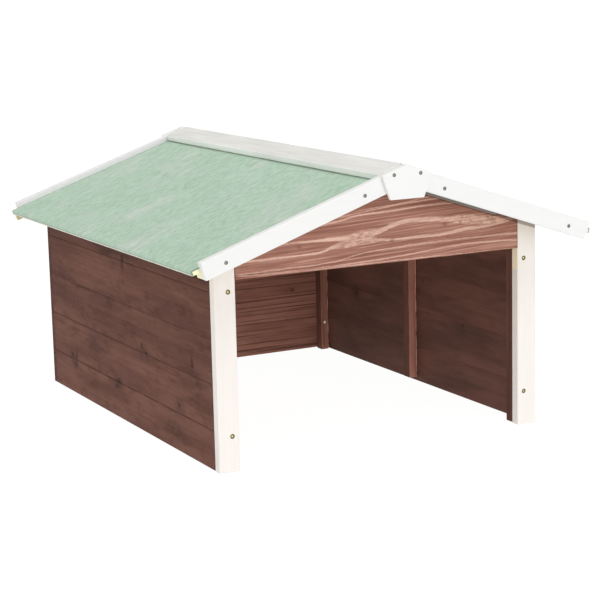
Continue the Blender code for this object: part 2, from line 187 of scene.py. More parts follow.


# Red-brown stain on the walls and battens, its copies set apart by painted light and shade: darker on the
# right wall's shaded inside, lighter on the back wall and the battens, and a lower level on the left wall
# under the side lamp. Every board is given its own stretch of timber.
stainLooks = {
    "left": {
        "grain": "Y", "seed": 3.0,
        "dark": colour(70, 43, 36), "middle": colour(111, 72, 61), "pale": colour(127, 86, 73),
        "lines": 0.20, "mottle": 0.38, "fibre": 0.24, "eave": 0.85, "level": 0.82, "seamLight": 0.0,
        "knots": [  # along the wall, height, size
            (-0.047, 0.1525, 0.0062), (-0.068, 0.1418, 0.0060), (0.300, 0.0739, 0.0062),
            (0.284, 0.056, 0.0044), (0.065, 0.0689, 0.0075), (0.078, 0.0572, 0.0046),
            (0.028, 0.293, 0.0062), (-0.258, 0.1565, 0.0046), (-0.199, 0.0807, 0.0050),
        ],
        "smears": [  # along the wall, height, half width, half height, strength
            (0.028, 0.284, 0.006, 0.015, 1.0), (-0.257, 0.165, 0.004, 0.015, 0.8),
            (0.276, 0.074, 0.004, 0.016, 0.7), (0.070, 0.062, 0.024, 0.013, 0.8),
            (-0.272, 0.124, 0.026, 0.022, 0.8), (0.290, 0.060, 0.016, 0.015, 0.7),
            (-0.200, 0.078, 0.016, 0.014, 0.7), (-0.055, 0.147, 0.022, 0.008, 0.6),
            (0.060, 0.300, 0.080, 0.012, 0.5), (-0.180, 0.030, 0.050, 0.016, 0.5),
            (0.190, 0.110, 0.050, 0.012, 0.4), (-0.120, 0.235, 0.060, 0.010, 0.35),
            (0.330, 0.200, 0.030, 0.030, 0.4),
        ],
        "seams": [  # height, half width, strength
            (0.2125, 0.0010, 0.65), (0.2190, 0.0007, 0.45), (0.0660, 0.0010, 0.60),
            (0.1410, 0.0008, 0.35), (0.2880, 0.0009, 0.35),
        ],
    },
    "right": {
        "grain": "Y", "seed": 17.0,
        "dark": colour(62, 40, 34), "middle": colour(93, 63, 54), "pale": colour(112, 76, 67),
        "lines": 0.10, "mottle": 0.16, "fibre": 0.12, "eave": 0.0, "level": 0.92, "seamLight": 0.45,
        "knots": [(0.2495, 0.136, 0.005), (-0.1416, 0.135, 0.004), (-0.0045, 0.1977, 0.004)],
        "smears": [
            (0.252, 0.140, 0.016, 0.016, 0.5), (-0.140, 0.131, 0.024, 0.020, 0.35),
            (-0.095, 0.179, 0.014, 0.006, 0.3),
        ],
        "seams": [],
    },
    "back": {
        "grain": "X", "seed": 31.0,
        "dark": colour(78, 48, 40), "middle": colour(126, 84, 71), "pale": colour(146, 101, 87),
        "lines": 0.80, "mottle": 0.20, "fibre": 0.20, "eave": 0.0, "level": 0.93, "seamLight": 0.15,
        "knots": [(0.217, 0.1274, 0.005), (-0.120, 0.210, 0.005)],
        "smears": [(0.205, 0.128, 0.020, 0.006, 0.4)],
        "seams": [(0.067, 0.0010, 0.5), (0.141, 0.0010, 0.4)],
    },
    "batten": {
        "grain": "Z", "seed": 43.0,
        "dark": colour(84, 54, 46), "middle": colour(126, 85, 73), "pale": colour(142, 98, 85),
        "lines": 0.35, "mottle": 0.25, "fibre": 0.16, "eave": 0.0, "level": 0.93, "seamLight": 0.0,
        "knots": [], "smears": [], "seams": [],
    },
}
boardSpacing = {"firstSeam": 0.067, "cover": 0.074}
stainGrain = {  # how fine each pattern is, per metre along, across and through the grain
    "fibre": (16.0, 620.0, 620.0),
    "cloud": (5.0, 26.0, 26.0),
    "mottle": (24.0, 55.0, 55.0),
    "rings": {"X": (2.0, 210.0, 60.0), "Y": (2.0, 135.0, 60.0), "Z": (2.0, 135.0, 60.0)},
    "knotEdge": (170.0, 170.0, 170.0),
    "knotRagged": 2.6,
    "chips": (60.0, 60.0, 38.0),
    "boardShift": 9.0,  # how far apart in the timber two boards can be cut
}
eaveShadow = {"softFrom": 0.270, "from": 0.3005, "to": 0.3055, "soft": 0.35}
# wear and dark ends of the stain, and painted light and shade
stainWearAndShade = {
    # dark stain of board ends, knots and seams, also the colour of painted shade under the eave and the
    # barge boards
    "endGrainAndShade": colour(58, 34, 29),
    "endFrom": 0.0012,
    "endStrength": 0.6,  # on the back wall, whose board ends show beside the side walls
    "cornerFrom": 0.0022,  # and on the side walls' last stretch before it
    "cornerStrength": 0.75,
    "knotStrength": 0.72,
    "bare": colour(226, 180, 160),
    "bareFrom": 0.0022,  # the worn corner of an upright batten, beside the wall
    "bareStrength": 0.75,
    "sideShaded": 0.58,  # painted shade: brightness of the faces of an upright batten that look across the shelter
    "frontLit": 1.38,  # painted light: brightness of those that look to the front and the back
    "frontLitNearOpening": 0.55,  # painted light: brighter by this away from the back corners
    "insideShade": 0.15,
}


def stainedTimber(name, looks):
    make = Maker("stain_" + name, 0.72)
    along, across, through = alongGrain(make, looks["grain"])
    level = make.maths("DIVIDE", make.minus(make.z, boardSpacing["firstSeam"]), boardSpacing["cover"])
    board = make.add(make.maths("FLOOR", level), looks["seed"])
    luck = addNode(make.tree, "TexWhiteNoise", {"W": board}, noise_dimensions="1D").outputs["Value"]
    if looks["grain"] == "Z":
        luck = 0.0
    shifted = make.maths("MULTIPLY_ADD", luck, stainGrain["boardShift"], along)
    place = make.vector(shifted, across, through)
    fibre = make.noise(place, stainGrain["fibre"], 3.0, 0.6, looks["seed"])
    cloud = make.noise(place, stainGrain["cloud"], 3.0, 0.55, 7.0)
    mottle = make.noise(place, stainGrain["mottle"], 4.0, 0.62, 11.0)
    rings = make.noise(place, stainGrain["rings"][looks["grain"]], 2.0, 0.6, 3.0)

    tone = make.mix(make.between(cloud, 0.34, 0.66), looks["middle"], looks["pale"])
    tone = make.mix(make.times(make.between(rings, 0.50, 0.36), looks["lines"]), tone, looks["dark"])
    tone = make.mix(make.times(make.between(mottle, 0.48, 0.70), looks["mottle"]), tone, looks["dark"])

    # Knots are small dark spots with a ragged edge, in a wider smear of darker stain.
    spot = 0.0
    wobble = make.minus(make.noise(make.place, stainGrain["knotEdge"], 2.0, 0.6), 0.5)
    wobble = make.times(wobble, stainGrain["knotRagged"])
    for knotAlong, knotHeight, size in looks["knots"]:
        away = make.maths("DIVIDE", make.minus(along, knotAlong), size * 1.25)
        above = make.maths("DIVIDE", make.minus(across, knotHeight), size)
        square = make.add(make.times(away, away), make.times(above, above), wobble)
        spot = make.maths("MAXIMUM", spot, make.between(square, 1.1, -0.2))
    smear = 0.0
    for smearAlong, smearHeight, halfWidth, halfHeight, strength in looks["smears"]:
        nearAlong = make.bell(along, smearAlong, halfWidth)
        nearHeight = make.bell(across, smearHeight, halfHeight)
        smear = make.add(smear, make.times(nearAlong, nearHeight, strength))
    smear = make.times(make.maths("MINIMUM", smear, 1.0), make.between(mottle, 0.25, 0.60))
    tone = make.mix(smear, tone, looks["dark"])
    tone = make.mix(make.times(spot, stainWearAndShade["knotStrength"]), tone, stainWearAndShade["endGrainAndShade"])
    for height, halfWidth, strength in looks["seams"]:
        line = make.times(make.bell(make.z, height, halfWidth), make.between(mottle, 0.30, 0.55), strength)
        tone = make.mix(line, tone, stainWearAndShade["endGrainAndShade"])

    # The ends of the boards are darker, and the battens' corners beside the wall are worn bare.
    if looks["grain"] == "X":
        ending = make.between(mirrored(make), bodyHalf - stainWearAndShade["endFrom"], bodyHalf - 0.0002)
        tone = make.mix(make.times(ending, stainWearAndShade["endStrength"]), tone, stainWearAndShade["endGrainAndShade"])
    if looks["eave"]:  # painted shadow where the wall runs up under the roof
        soft = make.times(make.between(make.z, eaveShadow["softFrom"], eaveShadow["to"]), eaveShadow["soft"])
        close = make.times(make.between(make.z, eaveShadow["from"], eaveShadow["to"]), looks["eave"])
        tone = make.mix(make.maths("MAXIMUM", soft, close), tone, stainWearAndShade["endGrainAndShade"])
    if looks["grain"] == "Y":
        corner = make.between(make.y, wallBack - stainWearAndShade["cornerFrom"], wallBack - 0.0004)
        tone = make.mix(make.times(corner, stainWearAndShade["cornerStrength"]), tone, stainWearAndShade["endGrainAndShade"])
    if looks["grain"] == "Z":
        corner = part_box("right_middle_batten")[1].x
        worn = make.between(mirrored(make), corner - stainWearAndShade["bareFrom"], corner - 0.0004)
        chips = make.between(make.noise(make.place, stainGrain["chips"], 3.0, 0.6, 21.0), 0.40, 0.58)
        tone = make.mix(make.times(worn, chips, stainWearAndShade["bareStrength"]), tone, stainWearAndShade["bare"])
        # painted light and shade: an upright batten's faces lighter or darker by which way they look
        normal = addNode(make.tree, "NewGeometry").outputs["Normal"]
        facing = make.maths("ABSOLUTE", addNode(make.tree, "SeparateXYZ", {0: normal}).outputs["Y"])
        forward = make.between(make.y, 0.15, 0.05)  # not on the battens in the back corners
        frontLitLevel = make.maths("MULTIPLY_ADD", forward, stainWearAndShade["frontLitNearOpening"], stainWearAndShade["frontLit"])
        sideShaded, frontLit = make.shaded(tone, stainWearAndShade["sideShaded"]), make.shaded(tone, frontLitLevel)
        tone = make.mix(make.between(facing, 0.4, 0.8), sideShaded, frontLit)
    shade = make.add(looks["level"], make.times(make.minus(fibre, 0.5), looks["fibre"] * 2))
    shade = make.add(shade, make.times(make.minus(mottle, 0.5), 0.16), make.times(luck, 0.05))
    shade = make.add(shade, make.times(make.minus(cloud, 0.5), 0.20))
    if looks["seamLight"]:  # painted light along the seams on the inside, so they hardly show
        past = make.maths("ABSOLUTE", make.minus(make.maths("FRACT", make.add(level, 0.5)), 0.5))
        inner = make.between(mirrored(make), bodyHalf - 0.004, bodyHalf - 0.008)
        if looks["grain"] == "X":
            inner = make.between(make.y, wallBack + 0.007, wallBack + 0.003)
        seamLight = make.times(make.bell(past, 0.0, 0.016), inner, looks["seamLight"])
        shade = make.times(shade, make.add(1.0, seamLight))
    if name == "right":  # painted shade, darker behind the middle batten and beside the front one
        deep = make.add(make.between(make.y, -0.02, 0.16), make.between(make.y, -0.27, -0.33))
        shade = make.times(shade, make.minus(1.0, make.times(deep, stainWearAndShade["insideShade"])))
    relief = make.add(make.times(fibre, 0.7), make.times(rings, 0.5), make.times(spot, 0.5))
    roughness = make.maths("MULTIPLY_ADD", mottle, 0.2, 0.62)
    return make.done(make.shaded(tone, shade), relief, 0.0003, roughness)


# The board over the entrance: lighter stain, with pale streaks that part and close again.
gableLooks = {
    "dark": colour(122, 79, 66),
    "middle": colour(170, 120, 104),
    "pale": colour(233, 192, 175),
    "breadth": 1.3,  # all the streaks together
    "streaks": [  # each has its strength and the (place, height, half width) of a few points
        (1.00, [
            (-0.270, 0.3555, 0.0004), (-0.152, 0.3553, 0.0011), (-0.106, 0.3553, 0.0018),
            (-0.060, 0.3545, 0.0030), (-0.033, 0.3578, 0.0044), (-0.007, 0.3600, 0.0034),
            (0.020, 0.3675, 0.0024), (0.047, 0.3722, 0.0026), (0.088, 0.3715, 0.0027),
            (0.129, 0.3685, 0.0036), (0.171, 0.3640, 0.0052), (0.207, 0.3605, 0.0048),
            (0.238, 0.3600, 0.0020), (0.268, 0.3600, 0.0002),
        ]),
        (0.95, [
            (-0.270, 0.3330, 0.0006), (-0.223, 0.3335, 0.0012), (-0.153, 0.3346, 0.0011),
            (-0.112, 0.3363, 0.0012), (-0.086, 0.3425, 0.0026), (-0.055, 0.3450, 0.0044),
            (-0.028, 0.3478, 0.0044), (-0.002, 0.3462, 0.0016), (0.020, 0.3448, 0.0012),
            (0.074, 0.3446, 0.0016), (0.115, 0.3450, 0.0017), (0.156, 0.3490, 0.0020),
            (0.199, 0.3503, 0.0016), (0.236, 0.3543, 0.0010), (0.268, 0.3600, 0.0003),
        ]),
        (0.70, [
            (-0.270, 0.3150, 0.0005), (-0.181, 0.3157, 0.0008), (-0.086, 0.3189, 0.0006),
            (-0.047, 0.3255, 0.0007), (0.046, 0.3318, 0.0010), (0.170, 0.3333, 0.0010),
            (0.268, 0.3329, 0.0011),
        ]),
        (0.75, [
            (-0.270, 0.3120, 0.0002), (0.006, 0.3145, 0.0005), (0.101, 0.3207, 0.0008),
            (0.156, 0.3238, 0.0009), (0.268, 0.3213, 0.0011),
        ]),
        (0.60, [
            (-0.268, 0.3130, 0.0012), (-0.189, 0.3097, 0.0006), (0.006, 0.3099, 0.0007),
            (0.150, 0.3090, 0.0004), (0.268, 0.3085, 0.0003),
        ]),
        (0.80, [
            (-0.160, 0.3740, 0.0006), (-0.074, 0.3834, 0.0012), (-0.040, 0.3885, 0.0010),
            (0.007, 0.3902, 0.0009), (0.102, 0.3951, 0.0007), (0.146, 0.3938, 0.0006),
            (0.200, 0.3900, 0.0003),
        ]),
        (0.75, [
            (-0.100, 0.3880, 0.0003), (-0.038, 0.3928, 0.0007), (0.021, 0.3995, 0.0008),
            (0.074, 0.4032, 0.0008), (0.140, 0.4040, 0.0005),
        ]),
        (0.70, [
            (-0.060, 0.3940, 0.0003), (0.000, 0.3994, 0.0005), (0.047, 0.4030, 0.0006),
            (0.083, 0.4080, 0.0007), (0.140, 0.4100, 0.0004),
        ]),
    ],
    "specks": [
        (-0.007, 0.3490, 0.0022), (0.020, 0.3430, 0.0050), (0.120, 0.3600, 0.0050),
        (0.150, 0.3610, 0.0030), (0.170, 0.3625, 0.0022), (0.205, 0.3640, 0.0026),
        (-0.150, 0.3480, 0.0040), (0.125, 0.3400, 0.0030),
    ],
    "rise": 0.045,  # of the grain over the board's length
    "heights": (0.30, 0.42),  # all the streaks lie between these
    "halfWidths": (0.0, 0.0080),
    "drift": 0.0030,  # how far a streak wanders off its line, and how ragged its edges are
    "ragged": 0.0022,
}
gableGrain = {
    "drift": (26.0, 60.0, 1.0),
    "ragged": (150.0, 420.0, 1.0),
    "mottle": (95.0, 210.0, 1.0),
    "threads": (5.0, 330.0, 1.0),
    "cloud": (9.0, 30.0, 1.0),
    "fibre": (24.0, 640.0, 640.0),
    "veins": (9.0, 520.0, 1.0),
}


def gableTimber(looks=gableLooks):
    make = Maker("stain_gable", 0.70)
    level = make.minus(make.z, make.times(make.x, looks["rise"]))
    place = make.vector(make.x, level, make.y)
    drift = make.times(make.minus(make.noise(place, gableGrain["drift"], 2.0, 0.5), 0.5), looks["drift"])
    ragged = make.minus(make.noise(place, gableGrain["ragged"], 2.0, 0.6, 4.0), 0.5)
    ragged = make.times(ragged, looks["ragged"])
    height = make.add(make.z, drift, ragged)
    mottle = make.noise(place, gableGrain["mottle"], 3.0, 0.62, 2.0)
    threads = make.noise(place, gableGrain["threads"], 3.0, 0.6, 5.0)
    pale = 0.0
    for strength, points in looks["streaks"]:
        start, end = points[0][0], points[-1][0]
        heights = [(x, z) for x, z, half in points]
        halves = [(x, half * looks["breadth"]) for x, z, half in points]
        line = make.curve(make.x, heights, (start, end), looks["heights"])
        half = make.curve(make.x, halves, (start, end), looks["halfWidths"])
        away = make.maths("DIVIDE", make.minus(height, line), half)
        body = make.times(make.between(away, -1.35, -0.75), make.between(away, 1.6, 0.5))
        wide = make.between(half, 0.0026, 0.0052)
        broken = make.add(1.0, make.times(wide, make.times(make.between(mottle, 0.62, 0.38), -0.60)))
        begun, over = make.between(make.x, start, start + 0.02), make.between(make.x, end, end - 0.006)
        pale = make.maths("MAXIMUM", pale, make.times(body, broken, make.times(begun, over), strength))
    pale = make.times(pale, make.maths("MULTIPLY_ADD", make.between(threads, 0.35, 0.60), 0.30, 0.72))
    pale = make.add(pale, make.times(make.between(threads, 0.54, 0.68), 0.26))
    speck = 0.0
    for x, z, size in looks["specks"]:
        near = make.times(make.bell(make.x, x, size), make.bell(height, z, size * 0.6))
        speck = make.maths("MAXIMUM", speck, near)

    cloud = make.noise(place, gableGrain["cloud"], 3.0, 0.5, 6.0)
    fibre = make.noise(place, gableGrain["fibre"], 3.0, 0.6)
    veins = make.noise(place, gableGrain["veins"], 2.0, 0.6, 8.0)
    tone = make.mix(make.times(make.between(threads, 0.52, 0.34), 0.55), looks["middle"], looks["dark"])
    tone = make.mix(make.times(make.between(veins, 0.45, 0.34), 0.34), tone, looks["dark"])
    tone = make.mix(make.times(make.between(veins, 0.57, 0.66), 0.30), tone, looks["pale"])
    tone = make.mix(make.maths("MINIMUM", pale, 1.0), tone, looks["pale"])
    tone = make.mix(make.times(speck, 0.60), tone, looks["dark"])
    joint = make.between(mirrored(make), postInner - 0.0016, postInner - 0.0004)
    tone = make.mix(make.times(joint, 0.8), tone, stainWearAndShade["endGrainAndShade"])
    # painted shadow under the front barge boards
    tone = make.mix(make.times(bargeShadow(make), 0.6), tone, stainWearAndShade["endGrainAndShade"])
    shade = make.add(0.95, make.times(make.minus(cloud, 0.5), 0.24))
    shade = make.add(shade, make.times(make.minus(fibre, 0.5), 0.26))
    shade = make.add(shade, make.times(make.minus(mottle, 0.5), 0.12))
    relief = make.add(make.times(fibre, 0.6), make.times(threads, 0.5), make.times(pale, 0.3))
    roughness = make.maths("MULTIPLY_ADD", mottle, 0.2, 0.60)
    return make.done(make.shaded(tone, shade), relief, 0.0003, roughness)


# White paint: warmer on the posts, cooler and thinner on the ridge caps, and grey on the roof battens as
# painted shade
paintLooks = {
    "post": {"tint": colour(241, 235, 229), "grain": "Z", "show": 0.04},
    "barge": {"tint": colour(235, 235, 233), "grain": "X", "show": 0.03},
    # painted light: a lighter, pinker copy of the barge paint against the shade and green bounce on the rear
    # barge boards
    "rearBarge": {"tint": colour(238, 234, 236), "grain": "X", "show": 0.03},
    "plate": {"tint": colour(236, 236, 234), "grain": "X", "show": 0.02},
    "cap": {"tint": colour(231, 230, 225), "grain": "Y", "show": 0.16},
    # painted shade: the white roof battens drawn grey, as they lie in shade under the barge boards
    "batten": {"tint": colour(118, 112, 105), "grain": "X", "show": 0.12},
}
paintGrain = {"brush": (9.0, 420.0, 420.0), "cloud": (7.0, 40.0, 40.0), "speck": (300.0, 900.0, 900.0)}
paintWearAndLight = {
    # painted light on the posts' front faces
    "postFront": colour(242, 236, 230),
    "postBare": colour(255, 244, 214),
    "bareFrom": 0.268,  # the height of the bare stretch inside one post
    "bareTo": 0.306,
    # painted highlight on the ridge caps' edge faces
    "capEdge": colour(252, 252, 248),
    "battenTip": colour(246, 240, 200),
    "battenTipLength": 0.024,
}


def whitePaint(name, looks):
    make = Maker("paint_" + name, 0.50, 0.30)
    along, across, through = alongGrain(make, looks["grain"])
    where = make.vector(along, across, through)
    brush = make.noise(where, paintGrain["brush"], 3.0, 0.6)
    cloud = make.noise(where, paintGrain["cloud"], 3.0, 0.5, 3.0)
    speck = make.noise(where, paintGrain["speck"], 2.0, 0.5, 8.0)
    dull = make.times(make.add(make.minus(brush, 0.5), make.minus(cloud, 0.5)), looks["show"] * 2)
    tone = looks["tint"]
    if name == "post":  # one was never painted at the top of its inner face
        low, high = paintWearAndLight["bareFrom"], paintWearAndLight["bareTo"]
        strip = make.times(make.between(make.z, low, low + 0.004), make.between(make.z, high + 0.002, high))
        near = make.between(make.x, postInner + 0.0012, postInner + 0.0004)
        near = make.times(near, make.between(make.x, postInner - 0.01, postInner - 0.005))
        # painted light: the posts' front faces a touch lighter than their sides
        front = make.between(make.y, postFront + 0.0016, postFront + 0.0008)
        tone = make.mix(front, tone, paintWearAndLight["postFront"])
        tone = make.mix(make.times(strip, near), tone, paintWearAndLight["postBare"])
        # painted shadow under the front barge boards
        tone = make.mix(make.times(bargeShadow(make), 0.55), tone, stainWearAndShade["endGrainAndShade"])
    if name == "batten":
        start = eaveAt - paintWearAndLight["battenTipLength"]
        tip = make.between(mirrored(make), start, start + 0.004)
        bare = make.between(make.x, 0.001, -0.001)  # only the left ones were left bare at the tip
        tone = make.mix(tip, tone, make.mix(bare, paintLooks["barge"]["tint"], paintWearAndLight["battenTip"]))
    if name == "cap":
        # painted highlight on the caps' edge faces, which look down into the shade
        edge = make.between(make.slopeRun(), roof["capEdge"] - 0.0012, roof["capEdge"] - 0.0004)
        tone = make.mix(edge, tone, paintWearAndLight["capEdge"])
    tone = make.shaded(tone, make.minus(1.0, dull))
    relief = make.add(brush, make.times(speck, 0.25))
    return make.done(tone, relief, 0.0002, make.maths("MULTIPLY_ADD", cloud, 0.2, 0.42))


# Mineral felt: pale green, brushed a little aslant up the slope and worn to grey in patches
feltLooks = {
    "green": colour(186, 208, 189),
    "deep": colour(170, 196, 175),
    "worn": colour(203, 209, 201),
    "cutEdge": colour(220, 216, 203),
    # colour of the painted shade lines on the felt
    "shadeLine": colour(120, 140, 124),
    "slant": math.radians(10),
    "apart": 3.0,  # how far apart the two sheets lie in the pattern
    "bend": 0.030,
    "wear": 0.80,
    "creaseAbove": 0.0034,  # how far the crease, with its painted shade line, and the cut edge lie above the lip's foot
    "cutAbove": 0.0026,
}
feltGrain = {
    "bend": (14.0, 14.0, 14.0),
    "streak": (70.0, 290.0, 60.0),
    "broad": (20.0, 62.0, 20.0),
    "patch": (6.0, 11.0, 5.0),
    "fleck": (160.0, 420.0, 60.0),
    "grit": (1400.0, 1400.0, 1400.0),
}


def roofingFelt(looks=feltLooks):
    make = Maker("felt", 0.90, 0.10)
    run = make.slopeRun()
    depth = make.slopeDepth()
    slantCos, slantSin = math.cos(looks["slant"]), math.sin(looks["slant"])
    alongStreak = make.minus(make.times(run, slantCos), make.times(make.y, slantSin))
    acrossStreak = make.add(make.times(run, slantSin), make.times(make.y, slantCos))
    onRight = make.between(make.x, -0.001, 0.001)
    alongStreak = make.maths("MULTIPLY_ADD", onRight, looks["apart"], alongStreak)
    place = make.vector(alongStreak, acrossStreak, depth)
    bend = make.times(make.minus(make.noise(place, feltGrain["bend"], 2.0, 0.5, 9.0), 0.5), looks["bend"])
    place = make.vector(alongStreak, make.add(acrossStreak, bend), depth)
    streak = make.noise(place, feltGrain["streak"], 3.0, 0.66)
    broad = make.noise(place, feltGrain["broad"], 4.0, 0.62, 5.0)
    patch = make.noise(place, feltGrain["patch"], 4.0, 0.60, 2.0)
    fleck = make.noise(place, feltGrain["fleck"], 2.0, 0.6, 12.0)
    grit = make.noise(make.place, feltGrain["grit"], 1.0, 0.5)
    tone = make.mix(make.between(streak, 0.34, 0.62), looks["deep"], looks["green"])
    wear = make.times(make.between(patch, 0.46, 0.72), make.between(broad, 0.30, 0.66), looks["wear"])
    tone = make.mix(wear, tone, looks["worn"])
    lipFoot = roof["feltTop"] + roof["feltThickness"] + roof["lip"]
    # painted shade in the crease of the lip
    shadeLine = make.times(make.bell(depth, lipFoot - looks["creaseAbove"], 0.0009), 0.6)
    tone = make.mix(shadeLine, tone, looks["shadeLine"])
    cut = make.between(depth, lipFoot - looks["cutAbove"], lipFoot - looks["cutAbove"] + 0.0008)
    tone = make.mix(cut, tone, looks["cutEdge"])
    # painted shadow under the ridge caps' edge
    capShadow = make.times(make.bell(run, roof["capEdge"] + 0.0012, 0.0012), 0.75)
    tone = make.mix(capShadow, tone, looks["shadeLine"])
    # painted shade where the felt's ends meet the barge boards
    ending = make.between(make.maths("ABSOLUTE", make.y), feltEnd - 0.0040, feltEnd - 0.0015)
    tone = make.mix(make.times(ending, 0.75), tone, looks["shadeLine"])
    shade = make.add(1.0, make.times(make.minus(streak, 0.5), 0.26))
    shade = make.add(shade, make.times(make.minus(grit, 0.5), 0.10))
    shade = make.add(shade, make.times(make.minus(fleck, 0.5), 0.20))
    shade = make.add(shade, make.times(make.minus(broad, 0.5), 0.16))
    relief = make.add(make.times(grit, 0.5), make.times(streak, 0.9))
    return make.done(make.shaded(tone, shade), relief, 0.0005)


# Bare pine: the underside of the roof decks
pineLooks = {
    "pale": colour(228, 206, 160),
    "ring": colour(198, 162, 108),
    "ringsPerMetre": 90.0,
    "sway": 5.0,  # how many rings the grain wanders over
    "swayGrain": (2.5, 12.0, 12.0),
    "fibreGrain": (15.0, 500.0, 500.0),
}


def barePine(looks=pineLooks):
    make = Maker("bare_pine", 0.65, 0.2)
    where = make.vector(make.y, make.x, make.z)
    sway = make.times(make.noise(where, looks["swayGrain"], 2.0, 0.5), looks["sway"])
    turn = make.maths("FRACT", make.add(make.times(make.x, looks["ringsPerMetre"]), sway))
    late = make.times(make.between(turn, 0.3, 0.9), make.between(turn, 1.0, 0.93))
    fibre = make.noise(where, looks["fibreGrain"], 3.0, 0.6)
    tone = make.mix(make.times(late, 0.6), looks["pale"], looks["ring"])
    return make.done(make.shaded(tone, make.maths("MULTIPLY_ADD", fibre, 0.2, 0.86)), fibre, 0.0003)


# Plated steel, brighter in the middle of the head and dull at its rim
steelLooks = {
    "brassy": {
        "middle": colour(244, 232, 190), "rim": colour(112, 104, 62), "rimFrom": 0.0020, "metal": 1.0,
    },
    # painted glint: the batten screws' heads near white and not metallic
    "bright": {
        "middle": colour(255, 252, 236), "rim": colour(236, 214, 160), "rimFrom": 0.0021, "metal": 0.0,
    },
    "grey": {
        "middle": colour(182, 180, 174), "rim": colour(128, 127, 124), "rimFrom": 0.0018, "metal": 1.0,
    },
}


steelGrain = (900.0, 900.0, 900.0)


def platedSteel(name, looks):
    make = Maker("steel_" + name, 0.38, 0.5, looks["metal"])
    around = make.maths("SQRT", make.add(make.times(make.x, make.x), make.times(make.z, make.z)))
    scuff = make.noise(make.place, steelGrain, 3.0, 0.6)
    rim = make.between(around, looks["rimFrom"] - 0.0006, looks["rimFrom"] + 0.0002)
    tone = make.mix(rim, looks["middle"], looks["rim"])
    tone = make.shaded(tone, make.maths("MULTIPLY_ADD", scuff, 0.4, 0.78))
    return make.done(tone, scuff, 0.00005, make.maths("MULTIPLY_ADD", scuff, 0.25, 0.28))


def dress(nodeName, finish):
    piece = cadNodes[nodeName]
    piece.data.materials.clear()
    piece.data.materials.append(finish)


stains = {name: stainedTimber(name, looks) for name, looks in stainLooks.items()}
paints = {name: whitePaint(name, looks) for name, looks in paintLooks.items()}
pine = barePine()
for nodeName in cadNodes:
    for wall in ("left", "right", "back"):
        if nodeName.startswith(wall + "_wall_board"):
            dress(nodeName, stains[wall])
dress("front_gable_board", gableTimber())
for side in sides:
    for place in ("front", "middle", "rear"):
        dress(f"{side}_{place}_batten", stains["batten"])
    dress(f"{side}_front_post", paints["post"])
    dress(f"{side}_roof_deck", pine)
    dress(f"{side}_ridge_cap", paints["cap"])
    for end in ends:
        dress(f"{side}_{end}_roof_batten", paints["batten"])
        dress(f"{side}_{end}_barge_board", paints["barge" if end == "front" else "rearBarge"])
for end in ends:
    dress(f"{end}_ridge_plate", paints["plate"])
print("timber is stained and painted")


def newPiece(name, mesh, node):
    piece = bpy.data.objects.new(name, mesh)
    bpy.context.scene.collection.objects.link(piece)
    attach(piece, "root")
    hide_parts(node)
    return piece


def finishMesh(name, shape, sharpDegrees):
    bmesh.ops.recalc_face_normals(shape, faces=shape.faces)
    mesh = bpy.data.meshes.new(name)
    shape.to_mesh(mesh)
    shape.free()
    mesh.shade_smooth()
    mesh.set_sharp_from_angle(angle=math.radians(sharpDegrees))
    return mesh


# Roofing felt: one sheet on each slope, its lower edge folded down over the deck
feltSheetLooks = {
    "foldRadius": 0.0023,
    "ripple": 0.00045,  # how far the top stands up or down between its edges
    "ragged": 0.0003,  # how unevenly the lip is cut
    "longRag": 55,  # these are how many waves there are in a metre, roughly
    "shortRag": 160,
    "longSwell": (9, 7),
    "shortSwell": (30, 14),
    "slopeSteps": 46,
    "foldSteps": 6,
    "lipSteps": 4,
    "lengthSteps": 150,
}


def slopePoint(sign, run, depth, y):
    x = sign * (run * slopeCos - depth * slopeSin)
    return Vector((x, y, ridgeHeight - run * slopeSin - depth * slopeCos))


def feltSection(looks):  # (run, depth, share of ripple, share of rag) outside and inside the sheet
    top, thick = roof["feltTop"], roof["feltThickness"]
    lower = (eaveAt + top * slopeSin) / slopeCos
    foot = top + thick + roof["lip"]
    radius = looks["foldRadius"]
    outer, inner = [], []
    for i in range(looks["slopeSteps"] + 1):
        share = i / looks["slopeSteps"]
        edge = min(1.0, 6 * share, 6 * (1 - share))
        for line, level in ((outer, top), (inner, top + thick)):
            start = level * slopeSin / slopeCos + roof["gap"] / 2 / slopeCos
            run = start + (lower - radius - start) * share
            line.append((run, level, edge if line is outer else 0.0, 0.0))
    for i in range(1, looks["foldSteps"] + 1):
        angle = math.pi / 2 * i / looks["foldSteps"]
        for line, size in ((outer, radius), (inner, radius - thick)):
            run, depth = lower - radius + size * math.sin(angle), top + radius - size * math.cos(angle)
            line.append((run, depth, 0.0, 0.0))
    for i in range(1, looks["lipSteps"] + 1):
        share = i / looks["lipSteps"]
        depth = top + radius + (foot - top - radius) * share
        outer.append((lower, depth, 0.0, share))
        inner.append((lower - thick, depth, 0.0, share))
    return outer, inner


